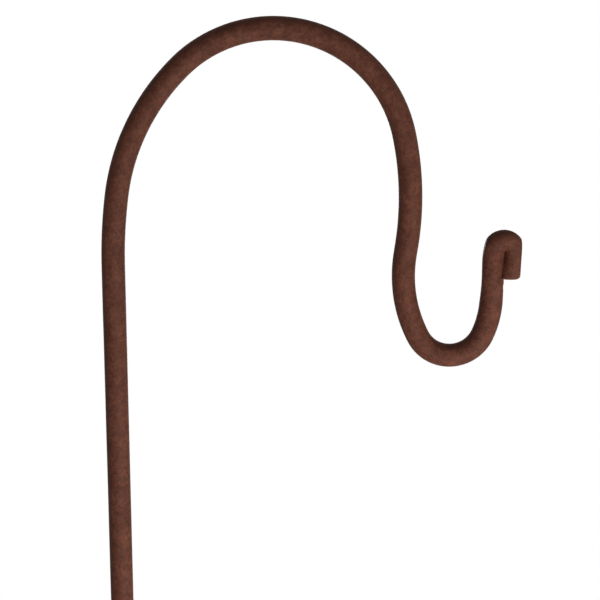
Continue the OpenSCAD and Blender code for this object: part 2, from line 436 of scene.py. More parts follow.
def cut(piece, tool, operation="DIFFERENCE"):
    """Cuts, joins or intersects a piece with a tool, and takes the tool away."""
    modify(piece, "BOOLEAN", operation=operation, solver="EXACT", object=tool)
    bpy.data.objects.remove(tool)


# %% Fuse the two runs at the foot of the seam
SMEAR_RADII = Vector((2.4, 2.2, 4.4)) * MM
SMEAR_OUT = 0.65 * MM
SMEAR_DROP = 1.8 * MM
SMEAR_SEGMENTS = 48
SMEAR_RINGS = 24
SMEAR_SOFTEN = 4

clear_selection()
smear_at = Vector((seam_x + SMEAR_OUT - SMEAR_RADII.x, 0, STUB_FOOT - SMEAR_DROP))
bpy.ops.mesh.primitive_uv_sphere_add(
    segments=SMEAR_SEGMENTS, ring_count=SMEAR_RINGS, radius=1, location=smear_at
)
bpy.context.active_object.scale = SMEAR_RADII
smear = begin("smear")
bpy.ops.object.mode_set(mode="OBJECT")
modify(crook, "BOOLEAN", operation="UNION", solver="EXACT", use_self=True, object=smear)
bpy.data.objects.remove(smear)
work_on(crook)
bpy.ops.object.mode_set(mode="EDIT")
reach = 2 * SMEAR_RADII.x
count = soften(
    lambda at: abs(at.z - smear_at.z) < SMEAR_RADII.z and 0 < at.x - smear_at.x < reach,
    SMEAR_SOFTEN,
)
print(count, "vertices softened at the foot of the seam")

# %% Fill the groove along the seam
GROOVE_REACH = 2.4 * MM
GROOVE_SOFTEN = 10
GROOVE_FOOT = STUB_FOOT + 1 * MM


def in_groove(at):
    """Tells whether a place is beside the leaning seam or round its upper end."""
    leaned = (at.z - middle_z) * math.tan(math.radians(SEAM_LEAN))
    across = at.x - seam_x - SEAM_SHIFT - leaned
    above_fold = max(at.z - fold_z, 0)
    return at.z > GROOVE_FOOT and math.hypot(across, above_fold) < GROOVE_REACH


print(soften(in_groove, GROOVE_SOFTEN), "vertices softened in the groove")
close(crook)

# %% [markdown]
# ## The wandering surface
# The coat follows the steel, and hand-bent bar is never quite true: its highlight wanders a
# little. A Displace modifier with a soft cloud texture gives that. It only ever moves the
# surface inwards, so the bar keeps its size.

# %% Let the bar's surface wander
WAVE_SIZE = 22 * MM
WAVE_DEPTH = 0.1 * MM

wave = bpy.data.textures.new("hand_bent_wave", "CLOUDS")
wave.noise_scale = WAVE_SIZE
modify(
    crook, "DISPLACE", texture=wave, texture_coords="GLOBAL",
    strength=WAVE_DEPTH, mid_level=1.0,
)
report(crook)

# %% [markdown]
# ## The pole tube
# The tube is drawn steel, sawn to length, with its edges broken. On the real one the two holes
# for the plug welds are punched before the spike goes in. A turned piece needs only half of its
# section: a standing rectangle is bevelled at its corners and spun a full turn about the Z axis.

# %% Helpers for turned pieces
FULL_TURN = 2 * math.pi
QUARTER_TURN = math.pi / 2
EDGE_SEGMENTS = 3


def section(name, inner, outer, low, high):
    """Stands a rectangle between two radii and two heights, in the plane y = 0."""
    clear_selection()
    bpy.ops.mesh.primitive_plane_add(
        size=1,
        rotation=(QUARTER_TURN, 0, 0),
        location=((inner + outer) / 2, 0, (low + high) / 2),
    )
    bpy.context.active_object.scale = (outer - inner, high - low, 1)
    return begin(name)


def break_corner(piece, x, z, size, segments=EDGE_SEGMENTS):
    """Rounds one corner of a section."""
    pick(piece, "VERT", lambda at: abs(at.x - x) < MERGE and abs(at.z - z) < MERGE)
    bpy.ops.mesh.bevel(offset=size, segments=segments, affect="VERTICES")


def lathe(piece, steps):
    """Spins a section's outline a full turn about the Z axis and closes the piece."""
    bpy.ops.mesh.select_all(action="SELECT")
    bpy.ops.mesh.delete(type="ONLY_FACE")
    bpy.ops.mesh.select_all(action="SELECT")
    bpy.ops.mesh.spin(steps=steps, angle=FULL_TURN, center=(0, 0, 0), axis=(0, 0, 1))
    close(piece)


# %% A rod to cut with, and smooth shading after a cut
ROD_SIDES = 64


def rod(name, radius, start, finish, sides=ROD_SIDES):
    """Adds a plain round rod between two points, as a blank or a tool."""
    clear_selection()
    along = finish - start
    bpy.ops.mesh.primitive_cylinder_add(
        vertices=sides,
        radius=radius,
        depth=along.length,
        location=(start + finish) / 2,
        rotation=along.to_track_quat("Z", "Y").to_euler(),
    )
    piece = begin(name)
    bpy.ops.object.mode_set(mode="OBJECT")
    return piece


def smooth(piece, sharp_degrees=SHARP_DEGREES):
    """Shades a piece smooth again after a cut and reports on it."""
    work_on(piece)
    bpy.ops.object.shade_smooth_by_angle(angle=math.radians(sharp_degrees))
    report(piece)


# %% Turn the tube and punch its two holes
TUBE_WALL = 1.55 * MM
MOUTH_EDGE = 0.5 * MM
BURR_EDGE = 0.25 * MM
BURR_SEGMENTS = 2
PLUG_WELD_R = 4 * MM
TUBE_STEPS = 96

_, tube_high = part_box("pole_tube")
tube_r, tube_h = tube_high.x, tube_high.z
bore_r = tube_r - TUBE_WALL
weld_low, weld_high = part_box("plug_welds")
plug_weld_z = (weld_low.z + weld_high.z) / 2

tube = section("coated_pole_tube", bore_r, tube_r, 0, tube_h)
break_corner(tube, tube_r, tube_h, MOUTH_EDGE)
for x, z in ((bore_r, tube_h), (tube_r, 0), (bore_r, 0)):
    break_corner(tube, x, z, BURR_EDGE, BURR_SEGMENTS)
lathe(tube, TUBE_STEPS)
side = Vector((2 * tube_r, 0, 0))
level = Vector((0, 0, plug_weld_z))
# A ring of edges above and one below the holes keep the cut faces short
bpy.ops.object.mode_set(mode="EDIT")
for z in (weld_low.z - BURR_EDGE, weld_high.z + BURR_EDGE):
    bpy.ops.mesh.select_all(action="SELECT")
    bpy.ops.mesh.bisect(plane_co=(0, 0, z), plane_no=(0, 0, 1), threshold=MERGE)
bpy.ops.object.mode_set(mode="OBJECT")
cut(tube, rod("punch", PLUG_WELD_R, level - side, level + side))
smooth(tube)

# %% [markdown]
# ## The stop collar
# A ring turned from bar, with one tapped hole for the wing screw. It is coated with the rest,
# so its edges are soft. The hole is cut after the spin, with its mouth countersunk.

# %% Turn the collar and drill it
collar_low, collar_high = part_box("stop_collar")
collar_r = collar_high.x
COLLAR_EDGE = 1 * MM
COLLAR_SEGMENTS = 4
BORE_EDGE = 0.5 * MM
COLLAR_STEPS = 96
HOLE_R = 3.05 * MM
SINK = 0.5 * MM

shank_low, shank_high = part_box("screw_shank")
screw_z = (shank_low.z + shank_high.z) / 2

collar = section("coated_stop_collar", bore_r, collar_r, collar_low.z, collar_high.z)
for z in (collar_low.z, collar_high.z):
    break_corner(collar, collar_r, z, COLLAR_EDGE, COLLAR_SEGMENTS)
    break_corner(collar, bore_r, z, BORE_EDGE)
lathe(collar, COLLAR_STEPS)
screw_axis = Vector((0, 0, screw_z))
outwards = Vector((0, -1, 0))
cut(collar, rod("drill", HOLE_R, screw_axis, screw_axis + 2 * collar_r * outwards))
clear_selection()
bpy.ops.mesh.primitive_cone_add(
    vertices=ROD_SIDES,
    radius1=HOLE_R + 2 * SINK,
    radius2=HOLE_R - SINK,
    depth=3 * SINK,
    location=screw_axis + (collar_r - 0.5 * SINK) * outwards,
    rotation=(-QUARTER_TURN, 0, 0),
)
countersink = begin("countersink")
bpy.ops.object.mode_set(mode="OBJECT")
cut(collar, countersink)
smooth(collar)

# %% [markdown]
# ## The screw's shank
# An M6 thread rises 1 mm a turn. A bump texture would do from afar, but its edge shows between
# the collar and the wings, so it is real: one tooth is drawn and swept by the Screw modifier,
# its ends are cut off square, and a chamfered blank trims the crests and the point.

# %% Draw one tooth of the thread
PITCH = 1 * MM
CREST_R = 2.97 * MM
TOOTH_DEPTH = 0.61 * MM
# The crest of an M thread is an eighth of the pitch wide
CREST_WIDTH = PITCH / 8
FLANK_DEGREES = 30
TOOTH_FOOT = CREST_WIDTH + 2 * TOOTH_DEPTH * math.tan(math.radians(FLANK_DEGREES))
SPARE_TURNS = 4
THREAD_STEPS = 40

shank_len = shank_high.y - shank_low.y
root_r = CREST_R - TOOTH_DEPTH
turns = math.ceil(shank_len / PITCH) + SPARE_TURNS

shank = section("threaded_shank", root_r, CREST_R, 0, TOOTH_FOOT)
pick(shank, "EDGE", lambda at: abs(at.x - CREST_R) < MERGE)
bpy.ops.transform.resize(
    value=(1, 1, CREST_WIDTH / TOOTH_FOOT), center_override=(0, 0, TOOTH_FOOT / 2)
)
pick(shank, "EDGE", lambda at: abs(at.x - root_r) < MERGE)
bpy.ops.mesh.delete(type="EDGE")
bpy.ops.mesh.select_all(action="SELECT")
bpy.ops.mesh.delete(type="ONLY_FACE")
pick(shank, "VERT", lambda at: abs(at.x - root_r) < MERGE and at.z > CREST_WIDTH)
bpy.ops.mesh.extrude_region_move(
    TRANSFORM_OT_translate={"value": (0, 0, PITCH - TOOTH_FOOT)}
)
bpy.ops.object.mode_set(mode="OBJECT")
print("tooth of", len(shank.data.edges), "edges,", turns, "turns")

# %% Sweep the thread and cut it to length
# The cuts start this far up, clear of the thread's own vertices
LEAD = 2.21 * MM

modify(
    shank, "SCREW", axis="Z", screw_offset=PITCH, iterations=turns,
    steps=THREAD_STEPS, render_steps=THREAD_STEPS,
)
bpy.ops.object.mode_set(mode="EDIT")
bpy.ops.mesh.select_all(action="SELECT")
bpy.ops.mesh.remove_doubles(threshold=MERGE)
for z, below in ((LEAD, True), (LEAD + shank_len, False)):
    bpy.ops.mesh.select_all(action="SELECT")
    bpy.ops.mesh.bisect(
        plane_co=(0, 0, z), plane_no=(0, 0, 1), use_fill=True,
        clear_inner=below, clear_outer=not below, threshold=MERGE / 10,
    )
bpy.ops.mesh.select_all(action="SELECT")
bpy.ops.transform.translate(value=(0, 0, -LEAD))
close(shank)

# %% Helpers that grow a round piece and settle it in its place
def grow(name, steps, sides=ROD_SIDES):
    """Starts a round piece as a disc and extrudes it up through pairs of radius and height."""
    radius, height = steps[0]
    clear_selection()
    bpy.ops.mesh.primitive_circle_add(
        vertices=sides, radius=radius, fill_type="NGON", location=(0, 0, height)
    )
    piece = begin(name)
    bpy.ops.mesh.select_all(action="SELECT")
    for next_radius, next_height in steps[1:]:
        bpy.ops.mesh.extrude_region_move(
            TRANSFORM_OT_translate={"value": (0, 0, next_height - height)}
        )
        wider = next_radius / radius
        bpy.ops.transform.resize(value=(wider, wider, 1), center_override=(0, 0, next_height))
        radius, height = next_radius, next_height
    return piece


def settle(piece, place=(0, 0, 0), turn=(0, 0, 0)):
    """Turns and moves a piece, and puts both into its mesh."""
    work_on(piece)
    piece.rotation_euler = turn
    piece.location = place
    bpy.ops.object.transform_apply(location=True, rotation=True, scale=True)
    return piece


# %% Trim the thread with a chamfered blank and put the shank on its axis
POINT_EDGE = 1 * MM
TRIMMED_R = 2.94 * MM
THREAD_SHARP = 25

blank = grow(
    "blank",
    [(TRIMMED_R - POINT_EDGE, 0), (TRIMMED_R, POINT_EDGE), (TRIMMED_R, shank_len + POINT_EDGE)],
    sides=THREAD_STEPS,
)
close(blank)
cut(shank, blank, "INTERSECT")
settle(shank, place=(0, shank_high.y, screw_z), turn=(QUARTER_TURN, 0, 0))
smooth(shank, sharp_degrees=THREAD_SHARP)

# %% [markdown]
# ## The moulded wings
# The wings are one nylon moulding with a round hub and two ears, all soft at the edges.
# Joining discs and a cylinder would leave hard corners, so the hub is box-modelled: a prism of
# twelve sides, whose two side faces are drawn out into ears, under a subdivision surface.

# %% Cut a prism of twelve sides for the hub
HUB_SIDES = 12
HUB_LEN = 10 * MM
HUB_CUTS = [0.5 * MM, 2.4 * MM, 8.3 * MM, 9.5 * MM]

wings_low, wings_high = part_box("screw_wings")
hub_r = (wings_high.z - wings_low.z) / 2
hub_face = hub_r * math.cos(math.pi / HUB_SIDES)
hub_face_width = 2 * hub_r * math.sin(math.pi / HUB_SIDES)

clear_selection()
bpy.ops.mesh.primitive_cylinder_add(
    vertices=HUB_SIDES,
    radius=hub_r,
    depth=HUB_LEN,
    location=(0, 0, HUB_LEN / 2),
    rotation=(0, 0, math.pi / HUB_SIDES),
)
wings = begin("moulded_wings")
for z in HUB_CUTS:
    bpy.ops.mesh.select_all(action="SELECT")
    bpy.ops.mesh.bisect(plane_co=(0, 0, z), plane_no=(0, 0, 1), threshold=MERGE)
print("hub of", HUB_SIDES, "sides and", round(hub_r / MM, 2), "mm in radius")

# %% Draw the ears out of the hub and dish its end
DISH_RIM = 1.3 * MM
DISH_WALL = 0.5 * MM
# Only the two side faces have a middle that lies further out than this share of hub_face
SIDE_SHARE = 0.98
# Sections of an ear from the hub outwards: how far out, its middle, height and thickness
EAR = [
    (7.2 * MM, 5.9 * MM, 6.4 * MM, 3.4 * MM),
    (8.8 * MM, 7.1 * MM, 8.4 * MM, 3.7 * MM),
    (10.8 * MM, 7.9 * MM, 9.6 * MM, 4.0 * MM),
    (13.0 * MM, 7.9 * MM, 9.0 * MM, 4.2 * MM),
    (14.6 * MM, 7.8 * MM, 5.6 * MM, 3.4 * MM),
]

for side in (-1, 1):
    pick(
        wings, "FACE",
        lambda at: at.x * side > SIDE_SHARE * hub_face and HUB_CUTS[1] < at.z < HUB_CUTS[2],
    )
    out, lift = hub_face, (HUB_CUTS[1] + HUB_CUTS[2]) / 2
    tall, thick = HUB_CUTS[2] - HUB_CUTS[1], hub_face_width
    for next_out, next_lift, next_tall, next_thick in EAR:
        bpy.ops.mesh.extrude_region_move(
            TRANSFORM_OT_translate={"value": (side * (next_out - out), 0, next_lift - lift)}
        )
        bpy.ops.transform.resize(
            value=(1, next_thick / thick, next_tall / tall),
            center_override=(side * next_out, 0, next_lift),
        )
        out, lift, tall, thick = next_out, next_lift, next_tall, next_thick
pick(wings, "FACE", lambda at: at.z > HUB_LEN - MERGE and abs(at.x) < MERGE)
bpy.ops.mesh.inset(thickness=DISH_RIM)
bpy.ops.mesh.inset(thickness=DISH_WALL, depth=-DISH_WALL)
close(wings)

# %% Subdivide the wings, size them and drill their socket
WINGS_LEVELS = 3
SOCKET_R = 3.03 * MM
SOCKET_LEN = 7 * MM


def size_to(piece, low, high):
    """Stretches a piece to fill a box."""
    corners = [Vector(corner) for corner in piece.bound_box]
    here_low = Vector(min(corner[axis] for corner in corners) for axis in range(3))
    here_high = Vector(max(corner[axis] for corner in corners) for axis in range(3))
    ratio = [(high[i] - low[i]) / (here_high[i] - here_low[i]) for i in range(3)]
    place = [low[i] - here_low[i] * ratio[i] for i in range(3)]
    piece.scale = ratio
    settle(piece, place=place)


modify(wings, "SUBSURF", levels=WINGS_LEVELS, render_levels=WINGS_LEVELS)
settle(wings, place=(0, wings_high.y, screw_z), turn=(QUARTER_TURN, 0, 0))
size_to(wings, wings_low, wings_high)
hub_foot = Vector((0, wings_high.y, screw_z))
deep = SOCKET_LEN * outwards
cut(wings, rod("socket", SOCKET_R, hub_foot - deep, hub_foot + deep))
smooth(wings)

# %% [markdown]
# ## The ground spike
# A solid round point that is pressed into the tube and plug-welded there. It is a plain turned
# and forged shape, so it is grown from the point upwards as a disc, ring by ring, and the
# rings where it changes direction are bevelled.

# %% Grow the spike from its point
SPIKE_TIP_R = 0.75 * MM
SPIKE_POINT = 28 * MM
PLUG_GAP = 0.03 * MM
SPIKE_SIDES = 96
# Size and segments of the bevels at the tip and where the point begins
SPIKE_TIP_BEVEL = (0.3 * MM, 3)
SPIKE_BEVEL = (5 * MM, 6)

spike_low, spike_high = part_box("ground_spike")
spike_r = spike_high.x
plug_r = bore_r - PLUG_GAP
plug_top = spike_high.z


def soften_ring(piece, z, size, segments):
    """Bevels the ring of edges that lies level at a height."""
    pick(piece, "EDGE", lambda at: abs(at.z - z) < MERGE)
    bpy.ops.mesh.bevel(offset=size, segments=segments)


spike = grow(
    "coated_ground_spike",
    [
        (SPIKE_TIP_R, spike_low.z),
        (spike_r, spike_low.z + SPIKE_POINT),
        (spike_r, 0),
        (plug_r, 0),
        (plug_r, plug_top - FOOT_EDGE),
        (plug_r - FOOT_EDGE, plug_top),
    ],
    sides=SPIKE_SIDES,
)
soften_ring(spike, spike_low.z, *SPIKE_TIP_BEVEL)
soften_ring(spike, spike_low.z + SPIKE_POINT, *SPIKE_BEVEL)
close(spike)

# %% [markdown]
# ## The prongs
# Four rods, bent down and pointed, keep the pole from turning in soft soil. One is modelled:
# it leaves the tube along +X, turns down and narrows to a blunt point, by the same steps as
# the crook. Its inner end is then cut to the tube's curve, and it is copied to the others.

# %% Bend one prong
PRONG_BEND_R = 12 * MM
PRONG_POINT = 18 * MM
PRONG_TIP_R = 0.5 * MM
PRONG_SIDES = 40
PRONG_TIP_BEVEL = (0.2 * MM, 2)
PRONG_BEVEL = (3 * MM, 5)
ARM_RINGS = 10
PRONG_RINGS = 20
ARM_LIFT = 0.5 * MM
PRONG_D = 6.35 * MM
PRONG_CIRCLE = 110 * MM

prong_low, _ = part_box("prong_back_right")
prong_r = PRONG_D / 2 - HAIR
arm_z = ARM_LIFT + prong_r
leg_x = PRONG_CIRCLE / 2

clear_selection()
bpy.ops.mesh.primitive_circle_add(
    vertices=PRONG_SIDES,
    radius=prong_r,
    fill_type="NGON",
    location=(bore_r, 0, arm_z),
    rotation=(0, QUARTER_TURN, 0),
)
prong = begin("coated_prong_back_right")
bpy.ops.mesh.select_all(action="SELECT")
end = go_straight((bore_r, arm_z, 0), leg_x - PRONG_BEND_R - bore_r, ARM_RINGS)
end = go_round(end, PRONG_BEND_R, -UPRIGHT)
end = go_straight(end, end[1] - prong_low.z - PRONG_POINT, PRONG_RINGS)
end = go_straight(end, PRONG_POINT, 1)
swell(end, PRONG_TIP_R / prong_r)
soften_ring(prong, prong_low.z + PRONG_POINT, *PRONG_BEVEL)
soften_ring(prong, prong_low.z, *PRONG_TIP_BEVEL)
close(prong)
print("prong leg at", round(end[0] / MM, 2), "and down to", round(end[1] / MM, 2))

# %% Cut its inner end to the tube and copy it to the other three
OWN_ANGLE = 45
PRONG_ANGLES = {"front_left": 225, "front_right": 315, "back_left": 135}
above = Vector((0, 0, 4 * PRONG_D))


def copy_turned(piece, name, degrees):
    """Copies a piece with a mesh of its own and turns the copy about the pole."""
    work_on(piece)
    bpy.ops.object.duplicate(linked=False)
    twin = bpy.context.active_object
    twin.name = twin.data.name = name
    return settle(twin, turn=(0, 0, math.radians(degrees)))


cut(prong, rod("tube_side", tube_r, -above, above, sides=TUBE_STEPS))
prongs = [
    copy_turned(prong, "coated_prong_" + name, angle) for name, angle in PRONG_ANGLES.items()
]
prongs.append(settle(prong, turn=(0, 0, math.radians(OWN_ANGLE))))
for piece in prongs:
    smooth(piece)

# %% [markdown]
# ## The welds
# A weld is metal that froze as a row of overlapping drops, and it shows as ripples. Drops are
# laid along the joint, melted together by a voxel remesh and smoothed a little, and then the
# pieces that the weld holds are cut out of it. The coat lies over the welds too.

# %% Lay a bead of drops and melt it
DROP_SEGMENTS = 20
DROP_RINGS = 12
WELD_VOXEL = 0.18 * MM
DROP_SWELL = 0.05
MELT_REPEAT = 3
WELD_SHARP = 50


def bead(name, places, radius):
    """Lays a drop of weld metal at each place and melts the drops into one solid."""
    clear_selection()
    drops = []
    for count, place in enumerate(places):
        bpy.ops.mesh.primitive_uv_sphere_add(
            segments=DROP_SEGMENTS,
            ring_count=DROP_RINGS,
            radius=radius * (1 - DROP_SWELL * math.sin(count) ** 2),
            location=place,
        )
        drops.append(bpy.context.active_object)
    for drop in drops:
        drop.select_set(True)
    bpy.ops.object.join()
    piece = begin(name)
    bpy.ops.object.mode_set(mode="OBJECT")
    modify(piece, "REMESH", mode="VOXEL", voxel_size=WELD_VOXEL)
    modify(piece, "SMOOTH", factor=SMOOTHING, iterations=MELT_REPEAT)
    return piece


# %% Weld the prongs to the tube
PRONG_DROP_R = 1.45 * MM
PRONG_DROPS = 17
BEAD_OUT = 0.35 * MM
BEAD_FROM = math.radians(-35)
BEAD_TO = math.radians(215)

bead_r = prong_r + BEAD_OUT
places = []
for count in range(PRONG_DROPS):
    angle = BEAD_FROM + (BEAD_TO - BEAD_FROM) * count / (PRONG_DROPS - 1)
    y = bead_r * math.cos(angle)
    places.append((math.sqrt(tube_r**2 - y**2), y, arm_z + bead_r * math.sin(angle)))
prong_bead = bead("coated_prong_welds", places, PRONG_DROP_R)
cut(prong_bead, rod("tube_side", tube_r, -above, above, sides=TUBE_STEPS))
arm = Vector((0, 0, arm_z))
cut(prong_bead, rod("arm", prong_r, arm, arm + Vector((leg_x, 0, 0)), sides=PRONG_SIDES))
beads = [copy_turned(prong_bead, "bead", angle) for angle in PRONG_ANGLES.values()]
settle(prong_bead, turn=(0, 0, math.radians(OWN_ANGLE)))
for piece in beads:
    piece.select_set(True)
bpy.ops.object.join()
smooth(prong_bead, sharp_degrees=WELD_SHARP)

# %% Fill the two plug welds
PLUG_DROP_R = 1.2 * MM
PLUG_SPIRAL_TURNS = 3
PLUG_DROPS = 42
# The last turn of the spiral runs round the rim
PLUG_RIM_FROM = 0.67
PLUG_RIM_SHARE = 0.8
PLUG_SINK = 0.7 * MM
PLUG_CORE = 1 * MM

spiral_r = PLUG_WELD_R - PLUG_RIM_SHARE * PLUG_DROP_R
places = []
for count in range(PLUG_DROPS):
    share = math.sqrt(count / (PLUG_DROPS - 1))
    angle = FULL_TURN * PLUG_SPIRAL_TURNS * share
    out = spiral_r * min(share / PLUG_RIM_FROM, 1)
    y = out * math.cos(angle)
    z = plug_weld_z + out * math.sin(angle)
    places.append((math.sqrt(tube_r**2 - y**2) - PLUG_SINK, y, z))
plug_bead = bead("coated_plug_welds", places, PLUG_DROP_R)
inner_end = level + Vector((plug_r - PLUG_CORE, 0, 0))
outer_end = level + Vector((tube_r - PLUG_SINK, 0, 0))
cut(plug_bead, rod("core", PLUG_WELD_R - 2 * HAIR, inner_end, outer_end), "UNION")
cut(plug_bead, rod("plug", plug_r, level - above, level + above, sides=SPIKE_SIDES))
other = copy_turned(plug_bead, "bead", 180)
work_on(plug_bead)
other.select_set(True)
bpy.ops.object.join()
smooth(plug_bead, sharp_degrees=WELD_SHARP)

# %% [markdown]
# ## The coat
# The steel has a rust-brown powder coat. Powder melts into a skin that is never one colour: it
# has soft clouds a few millimetres wide, fine grains, and the small bumps of its own melt. A
# painted texture would need an unwrapped mesh, so noise on Object coordinates is used: it has
# no seams, it is the same size on every piece, and it stays put when the hook moves.

# %% Screen colours and a new material
def paint(red, green, blue):
    """Turns an sRGB colour, as a screen shows it from 0 to 255, into a shader's linear one."""
    shares = [value / 255 for value in (red, green, blue)]
    linear = [
        share / 12.92 if share <= 0.04045 else ((share + 0.055) / 1.055) ** 2.4
        for share in shares
    ]
    return (*linear, 1)


def new_material(name):
    """Makes a node material and returns it with its tree, its shader and its coordinates."""
    material = bpy.data.materials.new(name)
    material.use_nodes = True
    tree = material.node_tree
    place = tree.nodes.new("ShaderNodeTexCoord").outputs["Object"]
    return material, tree, tree.nodes["Principled BSDF"], place


# %% A noise, and colours or values from its height
# Most of a noise lies between these heights
NOISE_LOW = 0.3
NOISE_HIGH = 0.7


def noise(tree, place, size, detail=3, roughness=0.55):
    """Adds a noise whose features are about one size across, and returns its height."""
    texture = tree.nodes.new("ShaderNodeTexNoise")
    texture.inputs["Scale"].default_value = 1 / size
    texture.inputs["Detail"].default_value = detail
    texture.inputs["Roughness"].default_value = roughness
    tree.links.new(place, texture.inputs["Vector"])
    return texture.outputs["Fac"]


def ramp(tree, height, stops):
    """Turns a height into colours through pairs of position and screen colour."""
    node = tree.nodes.new("ShaderNodeValToRGB")
    for position, _ in stops[2:]:
        node.color_ramp.elements.new(position)
    for element, (position, colour) in zip(node.color_ramp.elements, stops):
        element.position = position
        element.color = paint(*colour)
    tree.links.new(height, node.inputs["Fac"])
    return node.outputs["Color"]


def spread(tree, height, low, high):
    """Spreads the middle of a noise over a range of values."""
    node = tree.nodes.new("ShaderNodeMapRange")
    node.inputs["From Min"].default_value = NOISE_LOW
    node.inputs["From Max"].default_value = NOISE_HIGH
    node.inputs["To Min"].default_value = low
    node.inputs["To Max"].default_value = high
    tree.links.new(height, node.inputs["Value"])
    return node.outputs["Result"]


# %% Multiply colours and raise a bump
def multiply(tree, first, second):
    """Multiplies two colours, and returns the result."""
    node = tree.nodes.new("ShaderNodeMix")
    node.data_type = "RGBA"
    node.blend_type = "MULTIPLY"
    node.inputs["Factor"].default_value = 1
    tree.links.new(first, node.inputs["A"])
    tree.links.new(second, node.inputs["B"])
    return node.outputs["Result"]


def bump(tree, height, distance, under=None):
    """Raises the surface by a height, on top of another bump if there is one."""
    node = tree.nodes.new("ShaderNodeBump")
    node.inputs["Distance"].default_value = distance
    tree.links.new(height, node.inputs["Height"])
    if under:
        tree.links.new(under, node.inputs["Normal"])
    return node.outputs["Normal"]


# %% Mix the powder coat
CLOUD_SIZE = 7 * MM
MOTTLE_SIZE = 2.2 * MM
GRAIN_SIZE = 0.7 * MM
MELT_HEIGHT = 0.12 * MM
GRAIN_HEIGHT = 0.06 * MM
COAT_ROUGHNESS = (0.62, 0.8)
COAT_SPECULAR = 0.14
# Each colour of a ramp stands at a height of its noise
CLOUD_COLOURS = [(0.32, (90, 50, 36)), (0.5, (102, 59, 44)), (0.7, (112, 68, 52))]
PATCH_COLOURS = [(0.34, (196, 190, 186)), (0.66, (255, 255, 255))]
SPECK_COLOURS = [(0.36, (212, 210, 208)), (0.62, (255, 255, 255))]


def mix_coat(name):
    """Makes the textured rust-brown powder coat."""
    material, tree, shader, place = new_material(name)
    clouds = noise(tree, place, CLOUD_SIZE, detail=4)
    mottle = noise(tree, place, MOTTLE_SIZE, detail=3, roughness=0.6)
    grain = noise(tree, place, GRAIN_SIZE, detail=2, roughness=0.5)
    colour = ramp(tree, clouds, CLOUD_COLOURS)
    for height, colours in ((mottle, PATCH_COLOURS), (grain, SPECK_COLOURS)):
        colour = multiply(tree, colour, ramp(tree, height, colours))
    tree.links.new(colour, shader.inputs["Base Color"])
    tree.links.new(spread(tree, mottle, *COAT_ROUGHNESS), shader.inputs["Roughness"])
    shader.inputs["Specular IOR Level"].default_value = COAT_SPECULAR
    melt = bump(tree, mottle, MELT_HEIGHT)
    tree.links.new(bump(tree, grain, GRAIN_HEIGHT, under=melt), shader.inputs["Normal"])
    return material


# Finishes by the name of their slot in the record
finishes = {
    "bar_coat": mix_coat("crook_powder_coat"),
    "pole_coat": mix_coat("pole_powder_coat"),
}
print("coats:", ", ".join(finishes))

# %% [markdown]
# ## Zinc and nylon
# The wing screw is bought in, so it isn't coated. Its shank is zinc plated: a metal with a
# cloudy, slightly blue plate. Its wings are black nylon with the fine matt grain of the mould.

# %% Plate the shank
ZINC_CLOUDS = 2.5 * MM
ZINC_COLOURS = [(0.35, (176, 180, 188)), (0.65, (205, 206, 205))]
ZINC_ROUGHNESS = (0.28, 0.46)
SCRATCH_SIZE = 0.35 * MM
SCRATCH_HEIGHT = 0.01 * MM


def mix_zinc(name):
    """Makes the cloudy zinc plate of the screw."""
    material, tree, shader, place = new_material(name)
    clouds = noise(tree, place, ZINC_CLOUDS, detail=3)
    scratches = noise(tree, place, SCRATCH_SIZE, detail=2)
    colour = ramp(tree, clouds, ZINC_COLOURS)
    tree.links.new(colour, shader.inputs["Base Color"])
    tree.links.new(spread(tree, clouds, *ZINC_ROUGHNESS), shader.inputs["Roughness"])
    shader.inputs["Metallic"].default_value = 1.0
    tree.links.new(bump(tree, scratches, SCRATCH_HEIGHT), shader.inputs["Normal"])
    return material


finishes["zinc_plate"] = mix_zinc("screw_zinc")
print("plated:", finishes["zinc_plate"].name)

# %% Colour the nylon
NYLON_CLOUDS = 2.5 * MM
NYLON_COLOURS = [(0.35, (26, 26, 28)), (0.65, (34, 34, 36))]
NYLON_ROUGHNESS = (0.46, 0.62)
MOULD_GRAIN = 0.35 * MM
MOULD_HEIGHT = 0.03 * MM


def mix_nylon(name):
    """Makes the black moulded nylon of the wings."""
    material, tree, shader, place = new_material(name)
    clouds = noise(tree, place, NYLON_CLOUDS, detail=2)
    grain = noise(tree, place, MOULD_GRAIN, detail=2)
    colour = ramp(tree, clouds, NYLON_COLOURS)
    tree.links.new(colour, shader.inputs["Base Color"])
    tree.links.new(spread(tree, grain, *NYLON_ROUGHNESS), shader.inputs["Roughness"])
    tree.links.new(bump(tree, grain, MOULD_HEIGHT), shader.inputs["Normal"])
    return material


finishes["wing_plastic"] = mix_nylon("wing_nylon")
print("finishes:", ", ".join(finishes))

# %% [markdown]
# ## Joining the pieces to the moving solids
# Each piece replaces the plain solid of the same part and rides on the body that carries it,
# so it turns and slides with the joints. Its slot says which finish of the record it takes.

# %% Ride, replace and finish every piece
ON_BODIES = {
    "crook": [(crook, "crook_bar", "bar_coat")],
    "collar": [(collar, "stop_collar", "pole_coat")],
    "shank": [(shank, "screw_shank", "zinc_plate")],
    "wings": [(wings, "screw_wings", "wing_plastic")],
    "pole": [
        (tube, "pole_tube", "pole_coat"),
        (spike, "ground_spike", "pole_coat"),
        (plug_bead, "plug_welds", "pole_coat"),
        (prong_bead, "prong_welds", "pole_coat"),
    ],
}
for piece in prongs:
    node = piece.name.replace("coated_", "")
    ON_BODIES["pole"].append((piece, node, "pole_coat"))

for body, members in ON_BODIES.items():
    for piece, node, slot in members:
        piece.data.materials.clear()
        piece.data.materials.append(finishes[slot])
        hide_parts(node)
        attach(piece, body)
    print(body, "carries", ", ".join(piece.name for piece, _, _ in members))

